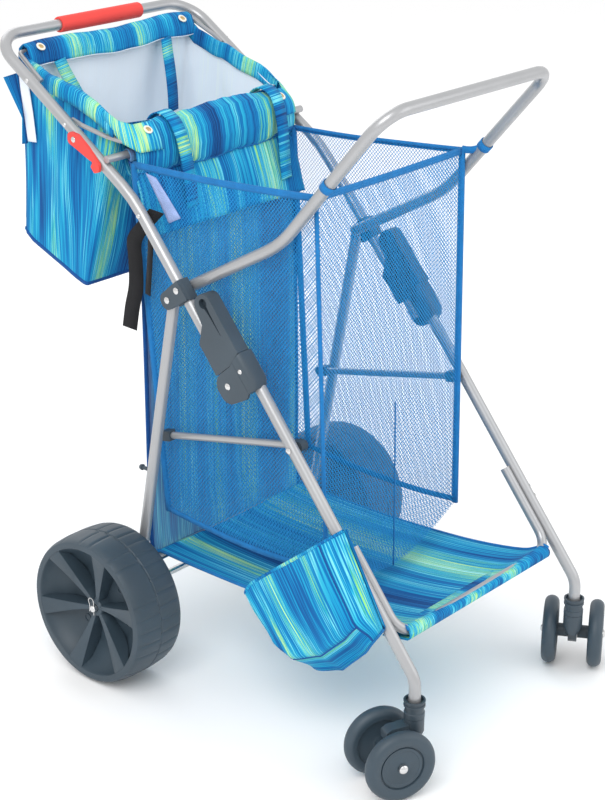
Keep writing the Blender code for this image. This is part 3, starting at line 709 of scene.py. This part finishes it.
def basket_ties():
    """Narrow tabs from the basket's front corners, looped round the arms of the raised loop."""
    for word, side in SIDES:
        start = corner("front", side, True)
        arm = Vector((side * 0.2021, start.y - 0.034, 0.0))
        low, high = at(0, -0.3003, 0.7875), at(0, -0.4936, 1.0148)
        arm.z = between(low.z, high.z, (low.y - arm.y) / (low.y - high.y))
        run = (high - low).normalized()
        ring = []
        for step in range(15):
            angle = 2 * math.pi * step / 14
            spoke = X_AXIS * math.cos(angle) + X_AXIS.cross(run) * math.sin(angle)
            ring.append(arm + spoke * 0.0108)
        collar = ribbon("corner_collar_" + word, ring, 0.0065, 0.0012, run)
        reach = [start + (arm - start) * (k / 5) + Vector((0, 0, -0.004 * math.sin(math.pi * k / 5)))
                 for k in range(6)]
        tie = join([applied(collar), tube_band(reach, 0.0042)], "corner_tie_" + word)
        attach(paint(tie, "binding"), "basket_frame")


# ---------------------------------------------------------------- tote bag

BAG_X = 0.1900
RING_SIDES = [0.19, 0.22, 0.19, 0.19, 0.22, 0.19]
RING = sum(RING_SIDES)
RIM_SIDE = [(0.266, 0.9930), (0.248, 0.9790), (0.207, 0.9690), (0.178, 0.9660), (0.150, 0.9560),
            (0.100, 0.9350), (0.056, 0.9100)]
FOOT_SIDE = [(0.297, 0.6880), (0.275, 0.6720), (0.235, 0.6560), (0.200, 0.6420), (0.175, 0.6310),
             (0.155, 0.6240), (0.146, 0.6230)]


def along(points, share):
    """The place at a share of the way along a line of places."""
    place = share * (len(points) - 1)
    index = min(int(place), len(points) - 2)
    return tuple(between(a, b, place - index) for a, b in zip(points[index], points[index + 1]))


def tote_ring(share):
    """A place round the bag, from the middle of the rear face by the right side to the front and back.

    It gives (x share, depth share): x from -1 to 1, depth 0 at the rear and 1 at the front."""
    corners = [(0, 0), (-1, 0), (-1, 1), (0, 1), (1, 1), (1, 0), (0, 0)]
    run = share * RING
    for index, length in enumerate(RING_SIDES):
        if run <= length or index == len(RING_SIDES) - 1:
            part = min(1.0, run / length)
            return tuple(between(a, b, part) for a, b in zip(corners[index], corners[index + 1]))
        run -= length


def tote_surface(inset):
    """The bag's wall. s runs round it, t from its foot at 0 to its rim at 1."""
    def surface(s, t):
        across, depth = tote_ring(s)
        top, foot = along(RIM_SIDE, depth), along(FOOT_SIDE, depth)
        swing = 0.5 - 0.5 * math.cos(math.pi * t)
        rise = 0.35 * t + 0.65 * swing
        y, z = between(foot[0], top[0], t), between(foot[1], top[1], t)
        belly = math.sin(math.pi * min(1.0, t * 1.05)) * (1 - t * 0.3)
        x = BAG_X * across * (0.955 + 0.045 * rise)
        edge = abs(across) > 0.999
        soft = noise.noise(Vector((across * 2.1 + 3, depth * 2.7, t * 1.9)))
        crease = noise.noise(Vector((across * 6 + 9, depth * 7, t * 2.6)))
        push = belly * (0.010 * soft + 0.003 * crease) * (4 * depth * (1 - depth) if edge else 1.0)
        if edge:
            x += across * (0.004 * belly * math.sin(math.pi * depth) + push - inset)
            z -= 0.080 * max(0.0, t - 0.9)
        else:
            forward = -1 if depth > 0.5 else 1
            y += forward * (0.006 * belly * (1 - across ** 2) + push * (1 - across ** 4) - inset)
            if depth > 0.99:
                z -= 0.100 * (1 - across ** 2) * max(0.0, t - 0.9)
        return at(x, y, z)
    return surface


def tote_bag():
    body = patch("tote_body", tote_surface(0.0), 96, 36, (1.20, 0.33))
    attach(paint(body, "streaks"), "handle_frame")
    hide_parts("tote_bag")
    lining = patch("tote_lining", tote_surface(0.0022), 96, 36, (1.20, 0.33))
    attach(paint(lining, "lining"), "handle_frame")
    tote_floor()
    tote_hems()
    tote_straps()
    tote_pockets()
    tote_snaps()


def tote_floor():
    surface = tote_surface(0.001)

    def floor(s, t):
        y, z = along(FOOT_SIDE, t)
        sag = 0.006 * math.sin(math.pi * s) * math.sin(math.pi * t)
        return at(BAG_X * 0.955 * (2 * s - 1), y, z - sag)
    base = patch("tote_base", floor, 20, 10, (0.36, 0.17))
    thicken(base, 0.002)
    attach(paint(base, "streaks"), "handle_frame")
    piping = tube_band([surface(s / 96, 0.0) for s in range(97)], 0.0028)
    piping.name = "tote_piping"
    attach(paint(piping, "navy"), "handle_frame")


FRONT_HEM = [(0.0560, 0.8900), (0.0500, 0.9060), (0.0380, 0.9120), (0.0220, 0.9050), (0.0120, 0.8860),
             (0.0080, 0.8620), (0.0110, 0.8390), (0.0220, 0.8250), (0.0360, 0.8290), (0.0470, 0.8480),
             (0.0540, 0.8700)]
REAR_HEM = [(0.2760, 0.9700), (0.2800, 0.9850), (0.2780, 1.0000), (0.2690, 1.0080), (0.2590, 1.0030),
            (0.2530, 0.9880), (0.2510, 0.9720)]


def front_hem(s, t):
    """The front wall rolled outward over the bag loop: puffy in the middle, gathered at both ends."""
    y, z = along(FRONT_HEM + FRONT_HEM[:1], t)
    middle_y, middle_z = 0.0330, 0.8680
    x = 2 * s - 1
    angle = 2 * math.pi * t
    puffs = noise.noise(Vector((s * 6, math.cos(angle), 1.3)))
    gathers = noise.noise(Vector((s * 26, math.sin(angle) * 1.5, 8.1)))
    full = (1.0 + 0.10 * puffs + 0.05 * gathers) * (1.05 - 0.26 * abs(x) ** 3)
    return at(0.1890 * x, between(middle_y, y, full), between(middle_z, z, full) - 0.005 * abs(x) ** 4)


def tote_hems():
    """The front hem is rolled over the bag loop, the rear hem is laid over its rod."""
    roll = patch("front_hem", front_hem, 80, 33, (0.40, 0.26), (0.31, 0.0))
    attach(paint(roll, "streaks"), "handle_frame")
    stitch = tube_band([front_hem(k / 60, 0.585) for k in range(61)], 0.0009)
    stitch.name = "front_hem_stitch"
    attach(paint(stitch, "binding"), "handle_frame")

    def rear(s, t):
        x = 0.1920 * (2 * s - 1)
        lift = 0.002 * math.sin(9 * s) + 0.003 * noise.noise(Vector((s * 7, t * 3, 4)))
        y, z = along(REAR_HEM, t)
        return at(x, y + lift * 0.5, z + lift)
    band = patch("rear_hem", rear, 48, 18, (0.40, 0.10), (0.77, 0.1))
    thicken(band, DOUBLED)
    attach(paint(band, "streaks"), "handle_frame")
    edge = tube_band([rear(k / 48, 1.0) for k in range(49)], 0.0010)
    edge.name = "rear_hem_stitch"
    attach(paint(edge, "lining"), "handle_frame")
    for word, side in SIDES:
        fold = patch("side_hem_" + word, tote_side_rim(side), 48, 10, (0.30, 0.05), (0.43 * side, 0.0))
        thicken(fold, SINGLE)
        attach(paint(fold, "streaks"), "handle_frame")
        flap = patch("corner_flap_" + word, corner_flap(side), 18, 12, (0.10, 0.05), (0.21 * side, 0.3))
        thicken(flap, SINGLE)
        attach(paint(flap, "streaks"), "handle_frame")


def corner_flap(side):
    """The end of the side hem, wrapped round onto the front hem and snapped there."""
    high = [(0.1925, 0.080, 0.9290), (0.1900, 0.052, 0.9160), (0.1780, 0.034, 0.9100),
            (0.1350, 0.026, 0.9110)]
    low = [(0.1950, 0.074, 0.9060), (0.1960, 0.036, 0.8820), (0.1850, 0.009, 0.8700),
           (0.1350, 0.005, 0.8680)]

    def surface(s, t):
        x, y, z = (between(a, b, t) for a, b in zip(along(high, s), along(low, s)))
        swell = math.sin(math.pi * t)
        return at(side * (x + 0.003 * swell), y - 0.007 * swell * s, z + 0.002 * swell)
    return surface


def tote_side_rim(side):
    """A folded hem about 22 mm deep that droops between the rear rod and the front hem."""
    over = [(-0.0060, -0.0240), (-0.0035, -0.0120), (0.0005, 0.0008), (0.0050, -0.0020),
            (0.0085, -0.0130), (0.0080, -0.0260)]

    def surface(s, t):
        y, z = along(RIM_SIDE, s)
        across, lift = along(over, t)
        wave = 0.0030 * math.sin(s * 7.5 + 1.0) + 0.003 * noise.noise(Vector((s * 5, side, 2)))
        flare = 0.004 * math.sin(math.pi * s) * (1 if t > 0.4 else 0)
        return at(side * (BAG_X + across + flare) + wave * 0.6, y, z + lift + wave)
    return surface


def strap_path(points):
    """A smooth line through given places."""
    line = [at(*point) for point in points]
    smooth = []
    for index in range(len(line) - 1):
        before, after = line[max(index - 1, 0)], line[min(index + 2, len(line) - 1)]
        first, second = line[index], line[index + 1]
        for step in range(6):
            t = step / 6
            smooth.append(0.5 * (2 * first + (second - before) * t
                                 + (2 * before - 5 * first + 4 * second - after) * t * t
                                 + (3 * first - before - 3 * second + after) * t ** 3))
    smooth.append(line[-1])
    return smooth


def tote_straps():
    """Two handles. Each comes out of the bag over a hem and hangs down beside it."""
    for word, x, lean in (("right", -0.104, 0.018), ("left", 0.138, 0.006)):
        front = [(x, 0.078, 0.835), (x, 0.070, 0.880), (x, 0.058, 0.909), (x + 0.002, 0.038, 0.9175),
                 (x + 0.004, 0.017, 0.906), (x + lean * 0.4, 0.004, 0.880),
                 (x + lean * 0.7, -0.001, 0.845), (x + lean, -0.004, 0.800), (x + lean, -0.008, 0.765)]
        strap = ribbon("front_strap_" + word, strap_path(front), 0.0130, 0.0022,
                       Vector((1, 0.04, 0.06)), (0.2 + x, 0.3))
        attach(paint(strap, "streaks"), "handle_frame")
    for word, x, lean in (("right", -0.130, 0.040), ("left", 0.118, -0.004)):
        rear = [(x, 0.2500, 0.976), (x + lean * 0.2, 0.246, 0.955), (x + lean * 0.6, 0.238, 0.920),
                (x + lean, 0.232, 0.885), (x + lean * 1.2, 0.230, 0.850)]
        strap = ribbon("rear_strap_" + word, strap_path(rear), 0.0130, 0.0022,
                       Vector((1, 0.1, 0.12)), (0.5 + x, 0.6))
        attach(paint(strap, "streaks"), "handle_frame")


def tote_pockets():
    """The flap that hangs in front of the bag, and the rear pocket whose right edge stands open."""
    def front(s, t):
        x = 0.188 * (2 * s - 1)
        soft = 0.004 * noise.noise(Vector((s * 4, t * 2, 7)))
        belly = 0.005 * math.sin(math.pi * s) * math.sin(math.pi * t)
        return at(x, 0.0190 - 0.030 * (1 - t) - belly + soft, 0.7360 + 0.096 * t)
    flap = patch("front_flap", front, 40, 14, (0.376, 0.09), (0.1, 0.4))
    flap = applied(thicken(flap, DOUBLED))
    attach(paint(flap, "streaks"), "handle_frame")

    def rear(s, t):
        across = 0.97 * (2 * s - 1)
        share = (-across * RING_SIDES[0] + (RING if across >= 0 else 0.0)) / RING
        return tote_surface(-0.0030 - 0.0090 * t * t)(share, 0.06 + 0.76 * t)
    pocket = patch("rear_pocket", rear, 40, 14, (0.37, 0.15), (0.6, 0.2))
    thicken(pocket, DOUBLED)
    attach(paint(pocket, "streaks"), "handle_frame")

    edges = [("pocket_edge", "streaks",
              [(-0.2040, 0.2680, 0.8440), (-0.2040, 0.2640, 0.8880), (-0.2040, 0.3070, 0.9500)],
              [(-0.1960, 0.2620, 0.8450), (-0.1960, 0.2740, 0.9200), (-0.1960, 0.2780, 0.9610)]),
             ("pocket_lining", "lining",
              [(-0.1955, 0.2640, 0.8480), (-0.1955, 0.2760, 0.9200), (-0.1955, 0.2790, 0.9600)],
              [(-0.1940, 0.2430, 0.8490), (-0.1940, 0.2490, 0.9000), (-0.1940, 0.2560, 0.9420)])]
    for name, look, first, second in edges:
        def turned(s, t):
            return at(*(between(a, b, s) for a, b in zip(along(first, t), along(second, t))))
        piece = patch(name, turned, 8, 18, (0.03, 0.08), (0.775, 0.1))
        thicken(piece, LIGHT)
        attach(paint(piece, look), "handle_frame")


def tote_snaps():
    """Pressed snaps with pale washers at the four corners of the rim."""
    places = [(-0.165, 0.2560, 1.0015), (0.165, 0.2560, 1.0015),
              (-0.158, 0.0180, 0.9010), (0.158, 0.0180, 0.9010)]
    turn = X_AXIS.rotation_difference(Vector((0.0, -0.62, 0.78)).normalized()).to_matrix().to_4x4()
    for index, place in enumerate(places):
        washer = spin("washer", [(0.0045, 0.0004), (0.0045, 0.0018), (0.0068, 0.0020), (0.0080, 0.0012),
                                 (0.0080, 0.0)], 28, Vector((0, 0, 0)))
        snap = spin("snap", [(0.0, 0.0032), (0.0022, 0.0030), (0.0034, 0.0020), (0.0044, 0.0018),
                             (0.0044, 0.0)], 24, Vector((0, 0, 0)), closed=False)
        for piece, name, look in ((washer, "snap_washer", "washer"), (snap, "snap_stud", "brass")):
            piece.data.transform(Matrix.Translation(at(*place)) @ turn)
            piece.name = f"{name}_{index}"
            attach(paint(piece, look), "handle_frame")


# ---------------------------------------------------------------- tray, rear panel, pocket, straps

def tray_fabric():
    """The low tray: a sheet between the tray loop and the lower cross tube, wrapped round both."""
    line = [(-0.0030, 0.1790), (-0.0120, 0.1835), (-0.0240, 0.1820), (-0.1000, 0.1790),
            (-0.2300, 0.1800), (-0.3800, 0.1900), (-0.4900, 0.2080), (-0.5270, 0.2240),
            (-0.5330, 0.2305), (-0.5420, 0.2300), (-0.5468, 0.2230), (-0.5440, 0.2140),
            (-0.5340, 0.2115), (-0.5200, 0.2090), (-0.4950, 0.2040)]
    smooth = strap_path([(0.0, y, z) for y, z in line])

    def surface(s, t):
        _, y, z = along(smooth, t)
        mid = math.sin(math.pi * min(1.0, t * 1.45)) if t < 0.69 else 0.0
        narrow = 1 - 0.035 * mid
        sag = 0.010 * mid * math.sin(math.pi * s)
        edge = 0.004 * mid * abs(2 * s - 1) ** 4
        ripple = 0.0012 * noise.noise(Vector((s * 30, t * 5, 1))) * mid
        return Vector((0.1860 * (2 * s - 1) * narrow, y, z - sag + edge + ripple))
    tray = patch("tray_cloth", surface, 48, 84, (0.37, 0.62), (0.37, 0.0))
    tray = applied(thicken(tray, SINGLE))
    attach(paint(tray, "streaks"), "front_frame")
    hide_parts("tray_fabric")
    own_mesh(tray)
    for word, side in SIDES:
        edge = [surface(0.0 if side < 0 else 1.0, 0.02 + 0.64 * k / 40) for k in range(41)]
        hem = tube_band(edge, 0.0022)
        hem.name = "tray_hem_" + word
        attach(paint(hem, "binding"), "front_frame")
        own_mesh(hem)


def rear_panel():
    """The cloth behind the basket, hung from the cross tube down to the tray's rear edge."""
    line = [(0.0290, 0.8530), (0.0300, 0.8640), (0.0370, 0.8712), (0.0440, 0.8680), (0.0420, 0.8580),
            (0.0300, 0.8480), (0.0200, 0.8000), (0.0120, 0.7000), (0.0080, 0.5500), (0.0060, 0.4000),
            (0.0050, 0.2600), (0.0020, 0.1950), (-0.0010, 0.1760), (-0.0060, 0.1660), (-0.0150, 0.1680)]
    smooth = strap_path([(0.0, y, z) for y, z in line])

    def surface(s, t):
        _, y, z = along(smooth, t)
        mid = math.sin(math.pi * t)
        soft = 0.006 * noise.noise(Vector((s * 3.4, t * 2.2, 5))) * mid
        return Vector((0.1875 * (2 * s - 1) * (1 - 0.02 * mid), y + soft, z))
    panel = patch("rear_cloth", surface, 40, 84, (0.375, 0.76), (1.2, 0.0))
    panel = applied(thicken(panel, LIGHT))
    paint(panel, "streaks_pale")
    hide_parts("rear_panel")
    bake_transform(panel)
    for side, word in ((0.0, "right"), (1.0, "left")):
        edge = [surface(side, 0.34 + 0.58 * k / 50) for k in range(51)]
        hem = flat_band(edge)
        hem.name = "panel_binding_" + word
        paint(hem, "navy")
        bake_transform(hem)
    seam = tube_band([surface(s / 20, 0.66) + Vector((0, 0.003, 0)) for s in range(21)], 0.0020)
    seam.name = "panel_seam"
    paint(seam, "streaks")
    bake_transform(seam)


def side_pocket():
    """The boxy pouch on the right leg: a full front, a gusset by the leg and one round its foot."""
    top = [(-0.4560, 0.3850), (-0.3900, 0.3300), (-0.3300, 0.2820), (-0.2880, 0.2470),
           (-0.2650, 0.2110)]
    foot = [(-0.5330, 0.2500), (-0.5000, 0.1980), (-0.4540, 0.1500), (-0.4000, 0.1300),
            (-0.3300, 0.1620)]

    def step(value):
        value = max(0.0, min(1.0, value))
        return value * value * (3 - 2 * value)

    def pouch(s, t, out=-0.2360, puff=0.0290):
        y, z = (between(a, b, t) for a, b in zip(along(foot, s), along(top, s)))
        swell = step(s / 0.17) * step((1 - s) / 0.12) * step(t / 0.24) * (1 - 0.35 * t * t)
        fold = noise.noise(Vector((s * 4, t * 2.4, out * 40)))
        pull = 0.0022 * math.sin(s * 26) * (1 - t) ** 3
        return at(out - puff * swell + 0.006 * fold * swell + pull, y, z)

    side, low = 0.13, 0.18
    shapes = [(lambda s, t: pouch(between(side, 1, s), between(low, 1, t)), 40, 28,
               (0.20, 0.17), (0.93, 0.0)),
              (lambda s, t: pouch(side * s, t), 8, 30, (0.035, 0.20), (0.71, 0.0)),
              (lambda s, t: pouch(between(side, 1, t), low * s), 8, 34, (0.05, 0.20), (0.38, 0.0)),
              (lambda s, t: pouch(s, t, -0.2290, 0.0010), 30, 24, (0.22, 0.20), (0.53, 0.0))]
    pouch_cloth = join([patch("panel", *shape) for shape in shapes], "pocket_cloth")
    thicken(pouch_cloth, LIGHT)
    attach(paint(pouch_cloth, "streaks"), "front_frame")
    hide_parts("side_pocket")
    steps = [k / 30 for k in range(31)]
    lines = {"pocket_hem": ([pouch(k, 1.0) for k in steps], 0.0020, "streaks"),
             "pocket_foot": ([pouch(k, 0.0) + Vector((0.0035, 0, 0)) for k in steps], 0.0024, "binding"),
             "pocket_gusset_seam": ([pouch(side, k) for k in steps], 0.0013, "navy"),
             "pocket_foot_seam": ([pouch(between(side, 1, k), low) for k in steps], 0.0013, "navy")}
    for name, (line, radius, look) in lines.items():
        seam = tube_band(line, radius)
        seam.name = name
        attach(paint(seam, look), "front_frame")


def web_straps():
    low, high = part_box("web_strap")
    x = (low.x + high.x) / 2
    run = [(x, -0.050, 0.792), (x, -0.020, 0.762), (x - 0.001, 0.000, 0.735), (x + 0.001, 0.001, 0.700),
           (x - 0.002, -0.002, 0.660), (x, 0.010, 0.620), (x + 0.001, 0.018, 0.583)]
    strap = ribbon("side_webbing", strap_path(run), 0.0125, 0.0016, Vector((-0.40, 0.88, 0.25)))
    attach(paint(strap, "webbing"), "handle_frame")
    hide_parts("web_strap")
    run = [(x + 0.010, -0.026, 0.745), (x + 0.008, -0.024, 0.700), (x + 0.010, -0.016, 0.645)]
    strap = ribbon("short_webbing", strap_path(run), 0.0070, 0.0014, Vector((0.2, 0.95, 0.1)),
                   (0.0, 0.2))
    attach(paint(strap, "webbing"), "handle_frame")


# ---------------------------------------------------------------- small fittings

# The body, the distance from the middle and the (y, z) places of each row of rivets.
RIVETS = {"rail_rivet": ("handle_frame", 0.2345,
                         [(0.2151, 0.9625), (0.1289, 0.9045), (-0.0335, 0.7860)]),
          "leg_rivet": ("front_frame", 0.2243, [(-0.4850, 0.2935), (-0.4740, 0.3070)]),
          "bracket_rivet": ("front_frame", 0.2392, [(-0.2510, 0.5849)])}


def rivets():
    """Rivet heads on the outer sides of the rails, legs and knee brackets."""
    profile = [(0.0, 0.0018), (0.0024, 0.0014), (0.0040, 0.0004), (0.0042, -0.0010)]
    for word, side in SIDES:
        for name, (owner, x, places) in RIVETS.items():
            for index, (y, z) in enumerate(places):
                head = spin("rivet", [(r, side * h) for r, h in profile], 20, at(side * x, y, z),
                            closed=False)
                head.name = f"{name}_{word}_{index}"
                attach(paint(head, "steel"), owner)


# ---------------------------------------------------------------- assembly

make_camera()
make_studio()
dress_cad()
for side_word, side_sign in SIDES:
    rear_wheel(side_word, side_sign)
    for wheel_name in ("outer", "inner"):
        caster_wheel(side_word, wheel_name)
mesh_basket()
basket_ties()
tote_bag()
tray_fabric()
rear_panel()
side_pocket()
web_straps()
rivets()
